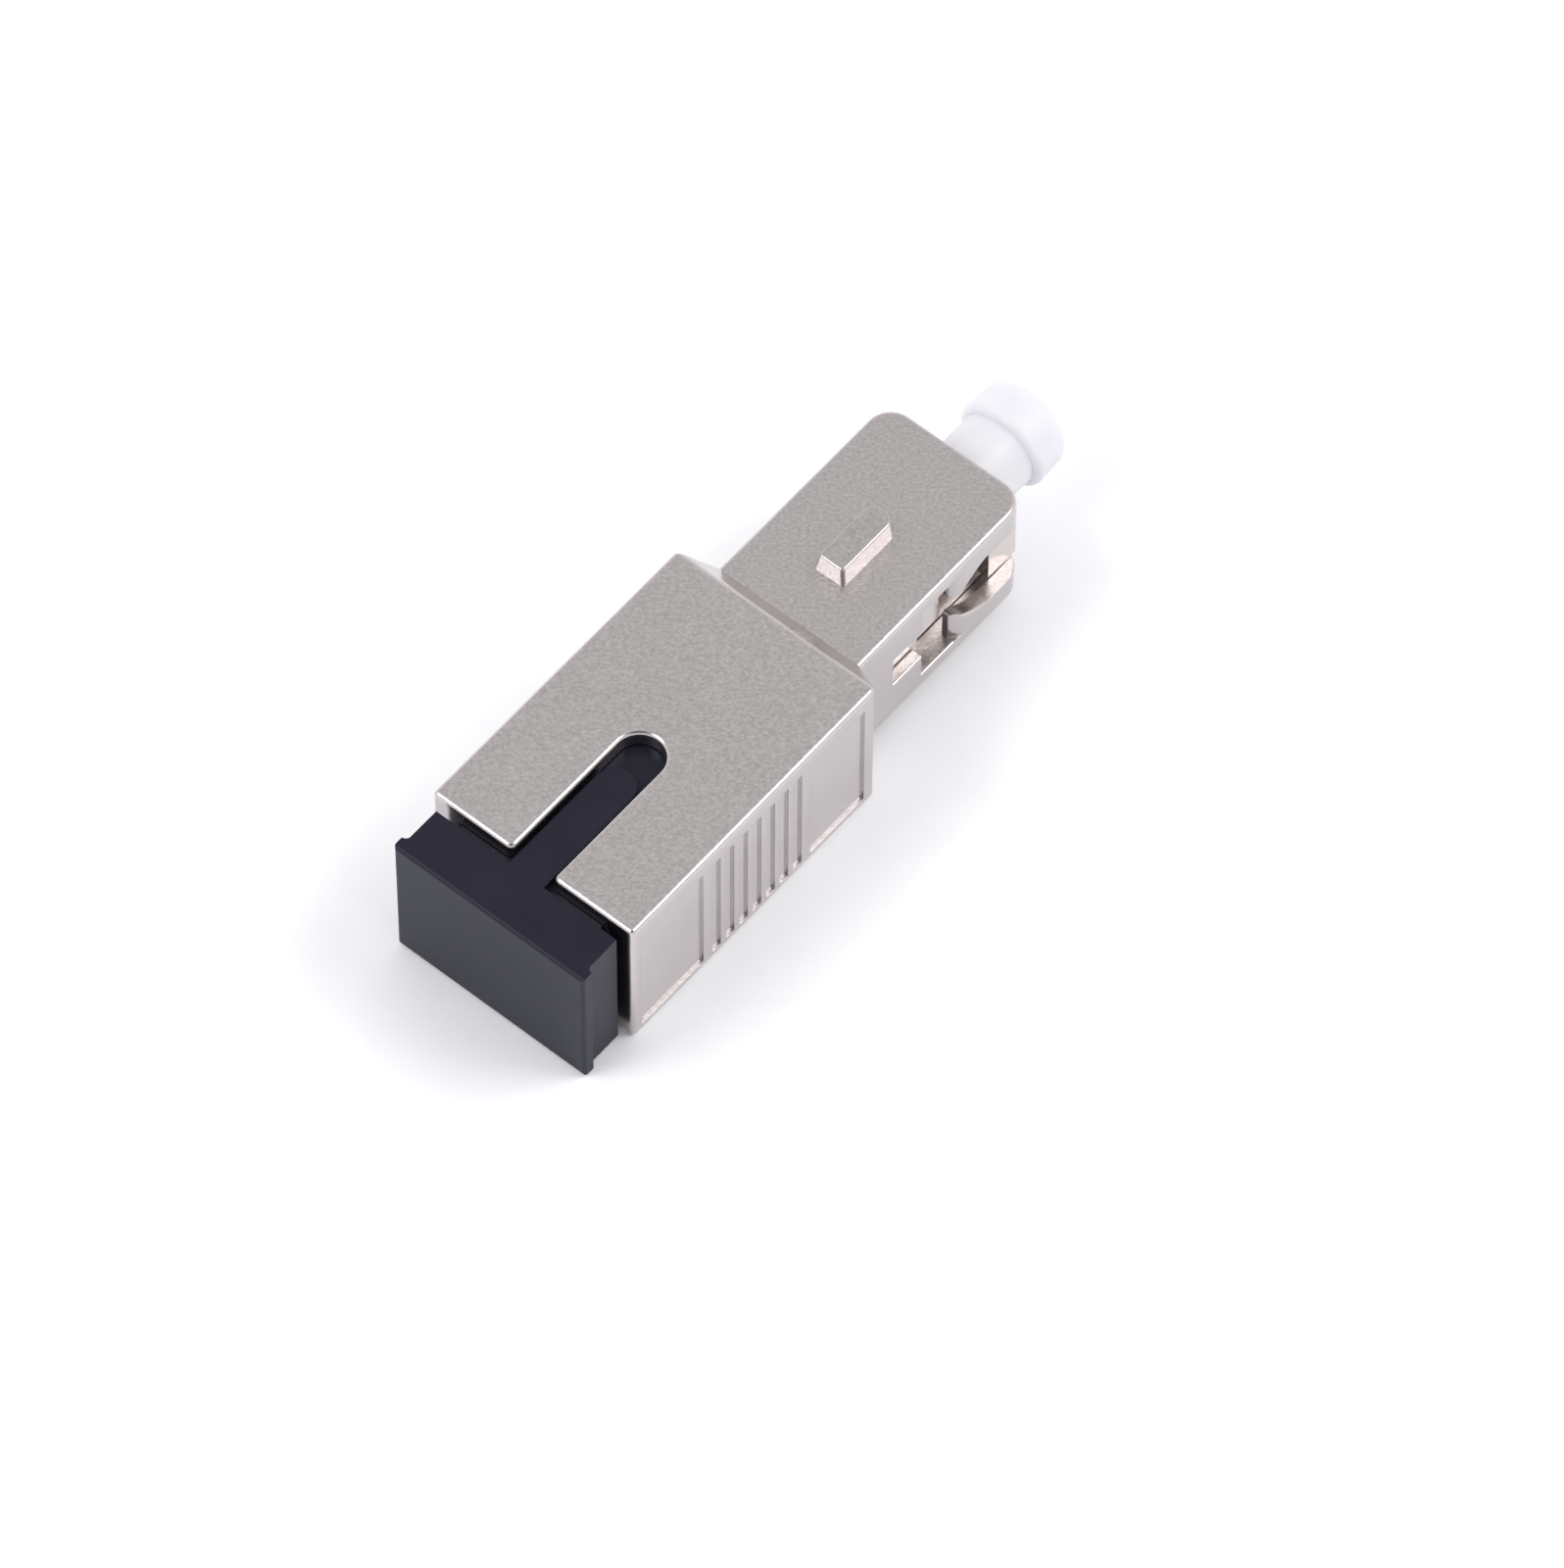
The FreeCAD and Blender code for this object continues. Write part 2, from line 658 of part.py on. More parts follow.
def make_latch_insert():
    body = new_body("latch_insert")

    # flange on the cavity's floor, with the sleeve barrel in front of it and a spigot in the partition
    flange = sketch_on(body, "flange_section", "YZ_Plane", "at.latch_face")
    centred_rectangle(flange, "at.cavity_width - 2 * size.latch_fit", "at.cavity_height - 2 * size.latch_fit")
    pad(body, "flange", flange, "size.latch_flange_thickness")
    barrel = sketch_on(body, "barrel_section", "YZ_Plane", "at.barrel_front")
    circle(barrel, "size.barrel_diameter")
    pad(body, "barrel", barrel, "size.barrel_length")
    spigot = sketch_on(body, "spigot_section", "YZ_Plane", "size.cavity_depth")
    circle(spigot, "size.barrel_bore - 2 * size.spigot_fit")
    pad(body, "spigot", spigot, "at.sleeve_rear - size.cavity_depth")
    sleeve_bore = sketch_on(body, "sleeve_bore_section", "YZ_Plane", f"at.sleeve_rear + {CUT_PAST}")
    circle(sleeve_bore, "size.sleeve_diameter + 2 * size.sleeve_clearance")
    pocket(
        body,
        "sleeve_bore",
        sleeve_bore,
        f"at.sleeve_rear + {CUT_PAST} - at.barrel_front - size.barrel_lip",
    )
    mouth = sketch_on(body, "barrel_mouth_section", "YZ_Plane", "at.latch_face")
    circle(mouth, "at.ferrule_hole")
    pocket(body, "barrel_mouth", mouth, f"size.barrel_length + {CUT_PAST}")

    # two latch hooks: a springy arm, a tooth with a square back and a sloping front
    tip = "at.latch_face - size.hook_reach"
    tooth_back = f"{tip} + size.hook_tooth_length"
    outer, inner = "at.hook_outer", "at.hook_outer - size.hook_thickness"
    tooth = f"{inner} - size.hook_tooth_depth"
    for side, name in ((1, "left"), (-1, "right")):
        hook = sketch_on(body, f"{name}_hook_plan", "XY_Plane", "-size.hook_width / 2")
        corners = [
            ("at.latch_face", outer),
            (tip, outer),
            (tip, inner),
            (f"({tip} + {tooth_back}) / 2", tooth),
            (tooth_back, tooth),
            (tooth_back, inner),
            ("at.latch_face", inner),
        ]
        outline(hook, [(x, f"{side} * ({y})") for x, y in corners])
        pad(body, f"{name}_hook", hook, "size.hook_width")
    return body


def make_plug_frame():
    body = new_body("plug_frame")

    # block that slides in the plug shell, with its corners broken at the front
    block = sketch_on(body, "frame_section", "YZ_Plane", "at.frame_rear")
    centred_rectangle(block, "at.frame_width", "at.frame_height")
    pad(body, "frame_block", block, "at.frame_front - at.frame_rear")
    dress(body, "Chamfer", "lead_in", "size.frame_lead_in", lambda edge: lies_at(edge, 0, "at.frame_front"))

    # recessed sides between the full-width guide at the rear and the latch lugs at the front, behind
    # which the teeth of a visiting adapter's hooks catch; a rail runs on from the guide at mid height
    guide_end, rail_end = "at.guide_end", "at.guide_end + size.rail_length"
    front, past = f"at.frame_front + {CUT_PAST}", f"(at.frame_height / 2 + {CUT_PAST})"
    lug, rail = "size.lug_height / 2", "at.bump_width / 2"
    for side, name, reverse in ((1, "right", False), (-1, "left", True)):
        recess = sketch_on(
            body, f"{name}_recess_outline", "XZ_Plane", f"{side} * (at.frame_width / 2 + {CUT_PAST})"
        )
        outline(
            recess,
            [
                (guide_end, f"-{past}"),
                (front, f"-{past}"),
                (front, f"-{lug}"),
                ("at.lug_rear", f"-{lug}"),
                ("at.lug_rear", lug),
                (front, lug),
                (front, past),
                (guide_end, past),
                (guide_end, rail),
                (rail_end, rail),
                (rail_end, f"-{rail}"),
                (guide_end, f"-{rail}"),
            ],
        )
        pocket(body, f"{name}_recess", recess, f"{CUT_PAST} + size.hook_relief_depth", reverse)

    # front bore for a visiting barrel, web with the ferrule's hole, rear bore for flange and spring
    front_bore = sketch_on(body, "front_bore_section", "YZ_Plane", f"at.frame_front + {CUT_PAST}")
    circle(front_bore, "size.frame_bore")
    pocket(body, "front_bore", front_bore, f"size.front_bore_depth + {CUT_PAST}")
    web_hole = sketch_on(body, "web_hole_section", "YZ_Plane", "at.web_front")
    circle(web_hole, "at.ferrule_hole")
    pocket(body, "web_hole", web_hole, "size.web_thickness")
    rear_bore = sketch_on(body, "rear_bore_section", "YZ_Plane", "at.web_rear")
    circle(rear_bore, "size.frame_bore")
    pocket(body, "rear_bore", rear_bore, f"at.web_rear - at.frame_rear + {CUT_PAST}")

    # bumps that ride in the notches of the shell's side windows
    bumps = sketch_on(body, "bump_plan", "XY_Plane", "-at.bump_width / 2")
    for side in (1, -1):
        near = f"{side} * (at.frame_width / 2 - size.bump_height)"
        far = f"{side} * (at.frame_width / 2 + size.bump_height)"
        rectangle(bumps, "at.bump_rear", "at.bump_rear + size.bump_length", near, far)
    pad(body, "bumps", bumps, "at.bump_width")
    return body


def make_spring_stop():
    body = new_body("spring_stop")
    flange = sketch_on(body, "stop_flange_section", "YZ_Plane", "at.stop_rear")
    centred_rectangle(flange, "at.frame_width", "at.frame_height")
    pad(body, "stop_flange", flange, "size.stop_flange_thickness")
    spigot = sketch_on(body, "stop_spigot_section", "YZ_Plane", "at.frame_rear")
    circle(spigot, "size.frame_bore - 2 * size.stop_fit")
    pad(body, "stop_spigot", spigot, "size.stop_spigot_length")
    hole = sketch_on(body, "stop_hole_section", "YZ_Plane", f"at.spring_seat + {CUT_PAST}")
    circle(hole, "at.ferrule_hole")
    pocket(body, "stop_hole", hole, f"at.spring_seat + 2 * {CUT_PAST} - at.stop_rear")
    return body


def make_ferrule():
    bore, outer, chamfer = (
        "size.fibre_diameter / 2 + size.fibre_fit",
        "size.ferrule_diameter / 2",
        "size.ferrule_chamfer",
    )
    return revolve(
        "ferrule",
        [
            ("at.ferrule_rear", bore),
            ("at.ferrule_tip", bore),
            ("at.ferrule_tip", f"{outer} - {chamfer}"),
            (f"at.ferrule_tip - {chamfer}", outer),
            (f"at.ferrule_rear + {chamfer}", outer),
            ("at.ferrule_rear", f"{outer} - {chamfer}"),
        ],
    )


def make_attenuating_fibre():
    radius = "size.fibre_diameter / 2"
    return revolve(
        "attenuating_fibre",
        [
            ("at.ferrule_rear", "0"),
            ("at.ferrule_tip", "0"),
            ("at.ferrule_tip", radius),
            ("at.ferrule_rear", radius),
        ],
    )


def make_ferrule_flange():
    bore = "size.ferrule_diameter / 2"
    neck_rear = "at.flange_rear - size.flange_neck_length"
    return revolve(
        "ferrule_flange",
        [
            (neck_rear, bore),
            ("at.flange_front", bore),
            ("at.flange_front", "size.collar_diameter / 2"),
            ("at.flange_rear", "size.collar_diameter / 2"),
            ("at.flange_rear", "size.flange_neck_diameter / 2"),
            (neck_rear, "size.flange_neck_diameter / 2"),
        ],
    )


def make_split_sleeve():
    inner, outer = "size.ferrule_diameter / 2 + size.sleeve_fit", "size.sleeve_diameter / 2"
    body = revolve(
        "split_sleeve",
        [
            ("at.sleeve_front", inner),
            ("at.sleeve_rear", inner),
            ("at.sleeve_rear", outer),
            ("at.sleeve_front", outer),
        ],
    )
    slit = sketch_on(body, "slit_plan", "XY_Plane", f"size.sleeve_diameter / 2 + {CUT_PAST}")
    rectangle(
        slit,
        f"at.sleeve_front - {CUT_PAST}",
        f"at.sleeve_rear + {CUT_PAST}",
        "-size.sleeve_slit / 2",
        "size.sleeve_slit / 2",
    )
    pocket(body, "slit", slit, f"size.sleeve_diameter / 2 + {CUT_PAST}")
    return body


def make_sleeve_retainer():
    inner, outer = "at.ferrule_hole / 2", "size.barrel_bore / 2 - size.spigot_fit"
    return revolve(
        "sleeve_retainer",
        [
            ("at.retainer_front", inner),
            ("at.partition_end", inner),
            ("at.partition_end", outer),
            ("at.retainer_front", outer),
        ],
    )


def make_ferrule_spring():
    """A six-sided wire wound about the axis, between the stop's spigot and the flange."""
    body = new_body("ferrule_spring")
    section = sketch_on(body, "wire_section", "XY_Plane")
    wire = "size.spring_wire / 2"
    start = f"at.spring_seat + size.spring_seat_gap + {wire}"
    centre_radius = f"size.spring_diameter / 2 - {wire}"
    outline(
        section,
        [
            (f"{start} + {wire} * cos({turn} deg)", f"{centre_radius} + {wire} * sin({turn} deg)")
            for turn in range(0, 360, 60)
        ],
    )
    coil = body.newObject("PartDesign::AdditiveHelix", "coil")
    coil.Profile = section
    coil.ReferenceAxis = (section, ["H_Axis"])
    coil.Mode = "height-turns-angle"
    coil.setExpression(
        "Height", "at.flange_rear - at.spring_seat - 2 * size.spring_seat_gap - size.spring_wire"
    )
    coil.setExpression("Turns", "size.spring_turns")
    doc.recompute()
    return body


def make_ferrule_cap():
    tube, head = "size.cap_tube_diameter / 2", "size.cap_head_diameter / 2"
    bore = "size.ferrule_diameter / 2 + size.cap_grip_fit"
    face = "at.cap_end - size.cap_dome"
    face_radius = f"{head} - size.cap_head_narrowing"
    dome = f"(({face_radius}) ^ 2 + size.cap_dome ^ 2) / (2 * size.cap_dome)"
    body = revolve(
        "ferrule_cap",
        [
            ("at.cap_rear", bore),
            ("at.ferrule_tip", bore),
            ("at.ferrule_tip", "0"),
            ("at.cap_end", "0", dome, 1),
            (face, face_radius),
            ("at.cap_shoulder", head),
            ("at.cap_shoulder", tube),
            ("at.cap_rear", tube),
        ],
    )

    def is_circle(edge, x, radius):
        return lies_at(edge, 0, x) and abs(reach(edge, 2) - value(radius)) < NEAR

    for name, x, radius in (("shoulder", "at.cap_shoulder", head), ("end", face, face_radius)):
        size = f"size.cap_{name}_round"
        dress(body, "Fillet", f"{name}_round", size, lambda edge: is_circle(edge, x, radius))
    return body


MAKERS = (
    make_main_housing,
    make_dust_plug,
    make_latch_insert,
    make_split_sleeve,
    make_sleeve_retainer,
    make_plug_frame,
    make_spring_stop,
    make_ferrule,
    make_attenuating_fibre,
    make_ferrule_flange,
    make_ferrule_spring,
    make_ferrule_cap,
)

pieces = [make() for make in MAKERS]
doc.recompute()

for item in doc.Objects:
    if {"Invalid", "Error"} & set(item.State):
        raise RuntimeError(f"{item.Label} failed: {item.State}")
for piece in pieces:
    if piece.Shape.isNull() or not piece.Shape.isValid() or len(piece.Shape.Solids) != 1:
        raise RuntimeError(f"{piece.Label} is not one valid solid")

os.makedirs("parts", exist_ok=True)
for piece in pieces:
    piece.Shape.exportStep(os.path.join("parts", f"{piece.Label}.step"))
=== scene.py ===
import math

import bpy
from mathutils import Matrix, Vector


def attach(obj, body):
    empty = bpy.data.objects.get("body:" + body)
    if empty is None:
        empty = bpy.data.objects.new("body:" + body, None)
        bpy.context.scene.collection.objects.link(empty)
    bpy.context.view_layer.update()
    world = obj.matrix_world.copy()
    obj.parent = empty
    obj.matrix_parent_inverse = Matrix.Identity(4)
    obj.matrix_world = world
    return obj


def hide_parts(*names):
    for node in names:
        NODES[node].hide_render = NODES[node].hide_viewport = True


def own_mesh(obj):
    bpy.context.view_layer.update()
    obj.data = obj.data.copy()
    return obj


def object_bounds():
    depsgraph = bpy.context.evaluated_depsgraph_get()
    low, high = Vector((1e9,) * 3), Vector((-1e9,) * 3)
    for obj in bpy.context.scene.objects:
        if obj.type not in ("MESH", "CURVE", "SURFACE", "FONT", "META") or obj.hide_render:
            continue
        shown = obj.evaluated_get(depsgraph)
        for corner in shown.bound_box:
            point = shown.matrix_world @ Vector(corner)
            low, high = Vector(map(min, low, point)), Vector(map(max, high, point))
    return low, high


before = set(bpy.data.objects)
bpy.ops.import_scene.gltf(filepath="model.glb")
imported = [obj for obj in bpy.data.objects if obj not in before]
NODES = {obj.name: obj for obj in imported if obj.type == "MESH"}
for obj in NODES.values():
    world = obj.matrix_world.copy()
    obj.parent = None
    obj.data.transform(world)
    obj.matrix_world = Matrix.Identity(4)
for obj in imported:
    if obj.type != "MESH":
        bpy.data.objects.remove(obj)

MM = 0.001
CAD_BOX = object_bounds()

# The plug frame: half its width in the solids, how much nearer to the shell its sides come here,
# and how far from that half width a point may lie and still count as on a side
FRAME_SIDE = 3.5 * MM
FRAME_REACH = 0.165 * MM
FRAME_TOLERANCE = 0.02 * MM

# The key with its softer corners, in millimetres: it covers the solid's key by a hair on every side
KEY_FRONT, KEY_BACK = 13.13, 17.57  # its ends along X, at the foot
KEY_HALF = 0.94  # half its width at the foot
KEY_FOOT = 8.40  # height of the face that it stands on
KEY_RISE = 1.12  # its height above that face
KEY_LEAN = math.radians(9.0)  # lean of its sides
KEY_CORNER = 0.20  # radius of the front corners
KEY_END_FLAT = 0.07  # half the flat in the middle of the round end
KEY_TOP_ROUND = 0.11  # radius of the upper edge
KEY_SINK = 0.03  # how far it goes below that face
KEY_STEPS = 10  # steps in each arc

# Camera: where it looks on the part, and from where
CAMERA_TARGET = Vector((4.35, -4.39, 4.70)) * MM
CAMERA_AZIMUTH = -50.52
CAMERA_ELEVATION = 57.46
CAMERA_ROLL = -0.36
CAMERA_DISTANCE = 570.8 * MM
CAMERA_LENS_MM = 270.0
CAMERA_SENSOR_MM = 36.0
CAMERA_CLIP = 0.01, 10.0

# Light: a bright tent that darkens overhead, by the sine of the elevation, and towards the
# photographer, by the cosine of the angle to the camera, with a soft lamp on each side
TENT_HORIZON, TENT_OVERHEAD = 1.0, 0.62
TENT_SINES = 0.25, 0.85
PHOTOGRAPHER_SHADE = 0.3
PHOTOGRAPHER_COSINES = 0.84, 0.95
LAMP_DISTANCE = 0.5
LAMP_SIZE = 0.22

# The sheet under the part, and how much brighter it looks than the light alone would make it
FLOOR_SIZE = 1.2
FLOOR_DROP = 0.02 * MM
FLOOR_GAIN = 1.34

# Linear colours, each the dark and the light end of a material's pattern
SATIN_NICKEL = (0.475, 0.439, 0.437), (0.725, 0.679, 0.679)
# The plug frame's nickel is painted brighter and warmer than the shell's: painted light and warm reflection
# inside the shell
FRAME_NICKEL_PAINTED_LIGHT = (0.600, 0.553, 0.520), (0.865, 0.805, 0.768)
# The key's nickel is the shell's nickel made a little darker: painted shade on the key
KEY_NICKEL_PAINTED_SHADE = (0.447, 0.420, 0.415), (0.680, 0.650, 0.642)
BLACK = (0.0120, 0.0118, 0.0255), (0.0150, 0.0148, 0.0305)
IVORY = (0.82, 0.785, 0.755), (0.86, 0.825, 0.795)
CAP_WHITE = (0.850, 0.840, 0.912), (0.875, 0.865, 0.937)
ZIRCONIA = (0.82, 0.81, 0.77), (0.88, 0.87, 0.84)
STEEL = (0.52, 0.51, 0.50), (0.60, 0.59, 0.58)
PAPER = (0.846, 0.851, 0.872), (0.858, 0.863, 0.884)

# Which part of a pattern's range a colour runs over
COLOUR_START, COLOUR_END = 0.3, 0.7

# The nickel: the upright part of a face's normal where blasting starts and where it is full,
# and the grain's size, direction and stretch
BLASTED_FROM, BLASTED_FULL = 0.90, 0.985
GRAIN_MM = 0.15
GRAIN_AZIMUTH = -50.0
GRAIN_STRETCH = 1.4

# Rays in the rounding of edges that is only in a material
BEVEL_SAMPLES = 6


class Shader:
    """The node tree of a material or a world, built link by link."""

    def __init__(self, owner, output="ShaderNodeOutputMaterial"):
        self.owner = owner
        owner.use_nodes = True
        self.tree = owner.node_tree
        self.tree.nodes.clear()
        self.output = self.tree.nodes.new(output)

    def add(self, kind, values=(), links=(), **settings):
        """A node with socket values {input: value}, links {input: output socket} and its own settings."""
        node = self.tree.nodes.new(kind)
        for key, value in settings.items():
            setattr(node, key, value)
        for key, value in dict(values).items():
            node.inputs[key].default_value = value
        for key, socket in dict(links).items():
            self.tree.links.new(socket, node.inputs[key])
        return node

    def show(self, socket):
        """Joins a node's result to the output."""
        self.tree.links.new(socket, self.output.inputs["Surface"])

    def surface(self, values=(), links=()):
        """The Principled shader, joined to the output."""
        self.show(self.add("ShaderNodeBsdfPrincipled", values, links).outputs["BSDF"])

    def place(self):
        """Object coordinates, in metres."""
        return self.add("ShaderNodeTexCoord").outputs["Object"]

    def drawn_out(self, azimuth, times):
        """Object coordinates that make a pattern longer in one level direction."""
        node = self.add(
            "ShaderNodeMapping",
            {"Rotation": (0.0, 0.0, math.radians(azimuth)), "Scale": (times, 1.0, 1.0)},
            {"Vector": self.place()},
            vector_type="TEXTURE",
        )
        return node.outputs["Vector"]

    def noise(self, size_mm, detail=2.0, roughness=0.5, place=None):
        """Noise whose features have that size."""
        node = self.add(
            "ShaderNodeTexNoise",
            {"Scale": 1.0 / (size_mm * MM), "Detail": detail, "Roughness": roughness},
            {"Vector": place or self.place()},
        )
        return node.outputs["Fac"]

    def between(self, factor, low, high, start=0.0, end=1.0):
        """A number that runs from low to high while the factor runs from start to end."""
        node = self.add(
            "ShaderNodeMapRange",
            {"From Min": start, "From Max": end, "To Min": low, "To Max": high},
            {"Value": factor},
        )
        return node.outputs["Result"]

    def blend(self, factor, first, second):
        """The first pattern where the factor is 0 and the second where it is 1."""
        node = self.add("ShaderNodeMix", links={"Factor": factor, "A": first, "B": second})
        return node.outputs["Result"]

    def colour(self, pattern, dark, light):
        """A colour that runs from dark to light over the middle of a pattern."""
        ramp = self.add("ShaderNodeValToRGB", links={"Fac": pattern})
        low, high = ramp.color_ramp.elements
        low.position, high.position = COLOUR_START, COLOUR_END
        low.color = (*dark, 1.0)
        high.color = (*light, 1.0)
        return ramp.outputs["Color"]

    def rounded(self, radius_mm):
        """Normals that round the edges to that radius."""
        node = self.add("ShaderNodeBevel", {"Radius": radius_mm * MM}, samples=BEVEL_SAMPLES)
        return node.outputs["Normal"]

    def bumped(self, pattern, depth_mm, strength=1.0, **links):
        """Normals of a relief of that depth; links can give its strength and the normals below it."""
        node = self.add(
            "ShaderNodeBump",
            {"Distance": depth_mm * MM, "Strength": strength},
            {"Height": pattern, **links},
        )
        return node.outputs["Normal"]


def new_shader(name):
    """The shader of a new material."""
    return Shader(bpy.data.materials.new(name))


def nickel(name, dark, light):
    """Nickel plate on a die casting: blasted where it faces up or down, smoother on the sides."""
    shader = new_shader(name)
    facing = shader.add("ShaderNodeNewGeometry").outputs["Normal"]
    upright = shader.add("ShaderNodeSeparateXYZ", links={"Vector": facing}).outputs["Z"]
    flat = shader.add("ShaderNodeMath", links={0: upright}, operation="ABSOLUTE").outputs["Value"]
    blasted = shader.between(flat, low=0.0, high=1.0, start=BLASTED_FROM, end=BLASTED_FULL)
    place = shader.drawn_out(GRAIN_AZIMUTH, GRAIN_STRETCH)
    grain = shader.noise(GRAIN_MM, detail=2.0, roughness=0.6, place=place)
    strength = shader.between(blasted, low=0.05, high=0.45)
    edges = shader.rounded(radius_mm=0.07)
    clouds = shader.between(shader.noise(size_mm=2.5, detail=2.0), low=0.43, high=0.57)
    speckle = shader.blend(shader.between(blasted, low=0.08, high=0.75), clouds, grain)
    shader.surface(
        {"Metallic": 1.0},
        {
            "Base Color": shader.colour(speckle, dark, light),
            "Roughness": shader.between(blasted, low=0.20, high=0.36),
            "Normal": shader.bumped(grain, depth_mm=0.03, Strength=strength, Normal=edges),
        },
    )
    return shader.owner


def black_plastic():
    """Black moulding with a faint blue cast and a fine orange-peel surface."""
    shader = new_shader("black_moulding")
    peel = shader.noise(size_mm=0.35, detail=3.0)
    clouds = shader.noise(size_mm=3.0, detail=3.0)
    edges = shader.rounded(radius_mm=0.08)
    shader.surface(
        {"IOR": 1.48, "Specular IOR Level": 0.26},
        {
            "Base Color": shader.colour(clouds, *BLACK),
            "Roughness": shader.between(clouds, low=0.36, high=0.46),
            "Normal": shader.bumped(peel, depth_mm=0.01, strength=0.12, Normal=edges),
        },
    )
    return shader.owner


def pale_plastic(name, colours, values, clouds_mm, peel_mm, depth_mm):
    """A pale moulding that lets light in below its surface."""
    shader = new_shader(name)
    clouds = shader.noise(clouds_mm, detail=3.0)
    peel = shader.noise(peel_mm, detail=2.0)
    shader.surface(
        values,
        {
            "Base Color": shader.colour(clouds, *colours),
            "Normal": shader.bumped(peel, depth_mm, strength=0.1),
        },
    )
    return shader.owner


def ivory_plastic():
    """Moulding of the inner pieces, which lets a little light in."""
    values = {
        "Roughness": 0.38,
        "IOR": 1.47,
        "Subsurface Weight": 0.15,
        "Subsurface Radius": (1.0, 0.95, 0.9),
        "Subsurface Scale": 0.6 * MM,
    }
    return pale_plastic("ivory_moulding", IVORY, values, clouds_mm=1.6, peel_mm=0.25, depth_mm=0.008)


def cap_plastic():
    """Soft translucent moulding of the ferrule cap."""
    values = {
        "Roughness": 0.42,
        "IOR": 1.49,
        "Subsurface Weight": 1.0,
        "Subsurface Radius": (1.0, 1.0, 1.0),
        "Subsurface Scale": 1.0 * MM,
    }
    return pale_plastic("translucent_cap", CAP_WHITE, values, clouds_mm=1.2, peel_mm=0.3, depth_mm=0.01)


def ceramic():
    """Ground and polished zirconia."""
    shader = new_shader("zirconia")
    clouds = shader.noise(size_mm=0.8, detail=2.0)
    lines = shader.noise(size_mm=0.05, detail=1.0)
    shader.surface(
        {"IOR": 2.1, "Subsurface Weight": 0.2, "Subsurface Scale": 0.3 * MM},
        {
            "Base Color": shader.colour(clouds, *ZIRCONIA),
            "Roughness": shader.between(clouds, low=0.08, high=0.16),
            "Normal": shader.bumped(lines, depth_mm=0.002, strength=0.1),
        },
    )
    return shader.owner


def steel():
    """Drawn and turned steel with fine tool lines."""
    shader = new_shader("bright_steel")
    lines = shader.add(
        "ShaderNodeTexWave",
        {"Scale": 1.0 / (0.6 * MM), "Distortion": 1.5, "Detail": 2.0},
        {"Vector": shader.place()},
        bands_direction="X",
    ).outputs["Fac"]
    clouds = shader.noise(size_mm=1.0)
    shader.surface(
        {"Metallic": 1.0},
        {
            "Base Color": shader.colour(clouds, *STEEL),
            "Roughness": shader.between(clouds, low=0.18, high=0.28),
            "Normal": shader.bumped(lines, depth_mm=0.003, strength=0.2),
        },
    )
    return shader.owner


def silica():
    """The clear fibre."""
    shader = new_shader("silica")
    clouds = shader.noise(size_mm=0.3)
    shader.surface(
        {"IOR": 1.46, "Transmission Weight": 1.0, "Base Color": (0.95, 0.96, 0.97, 1.0)},
        {"Roughness": shader.between(clouds, low=0.02, high=0.05)},
    )
    return shader.owner


def dress(material, *names):
    """Gives the nodes that material and no other."""
    for name in names:
        NODES[name].data.materials.clear()
        NODES[name].data.materials.append(material)


def add_object(name, data):
    """A new object in the scene."""
    obj = bpy.data.objects.new(name, data)
    bpy.context.scene.collection.objects.link(obj)
    return obj


def stand_in(name, node):
    """A piece of the plug core with a dressed node's shape and material, in the node's place."""
    piece = add_object(name, NODES[node].data.copy())
    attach(piece, "plug_core")
    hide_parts(node)
    return piece


def key_plan(inset, corner):
    """The key's plan, set in by a distance: each point in turn, with the way it faces."""
    front, back, half = KEY_FRONT + inset, KEY_BACK - inset, KEY_HALF - inset
    end = half - KEY_END_FLAT
    arcs = (
        (front + corner, corner - half, corner, 180.0),
        (back - end, end - half, end, 270.0),
        (back - end, half - end, end, 0.0),
        (front + corner, half - corner, corner, 90.0),
    )
    for x, y, radius, start in arcs:
        for step in range(KEY_STEPS + 1):
            turn = math.radians(start + 90.0 * step / KEY_STEPS)
            out = Vector((math.cos(turn), math.sin(turn)))
            yield Vector((x, y)) + radius * out, out


def key_section():
    """The key's side from foot to top: how far in, how high, and how far it faces out and up."""
    yield -KEY_SINK * math.tan(KEY_LEAN), -KEY_SINK, math.cos(KEY_LEAN), math.sin(KEY_LEAN)
    low = KEY_RISE - KEY_TOP_ROUND
    middle = (KEY_TOP_ROUND + low * math.sin(KEY_LEAN)) / math.cos(KEY_LEAN)
    for step in range(KEY_STEPS + 1):
        turn = KEY_LEAN + (math.pi / 2 - KEY_LEAN) * step / KEY_STEPS
        out, up = math.cos(turn), math.sin(turn)
        yield middle - KEY_TOP_ROUND * out, low + KEY_TOP_ROUND * up, out, up


def make_key():
    """The key on the plug shell, with rounded corners."""
    section = list(key_section())
    points, normals = [], []
    for inset, height, out, up in section:
        corner = KEY_CORNER + height * math.tan(KEY_LEAN) - inset
        for place, facing in key_plan(inset, corner):
            points.append(Vector((*place, KEY_FOOT + height)) * MM)
            normals.append((facing.x * out, facing.y * out, up))
    around = len(points) // len(section)
    faces = [tuple(reversed(range(around))), tuple(range(len(points) - around, len(points)))]
    for ring in range(0, len(points) - around, around):
        for side in range(around):
            here, there = ring + side, ring + (side + 1) % around
            faces.append((here, there, there + around, here + around))
    mesh = bpy.data.meshes.new("soft_key")
    mesh.from_pydata(points, [], faces)
    mesh.normals_split_custom_set_from_vertices(normals)
    # The key's nickel is darker than the shell's: painted shade
    mesh.materials.append(nickel("key_nickel_painted_shade", *KEY_NICKEL_PAINTED_SHADE))
    key = add_object("soft_key", mesh)
    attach(key, "housing")


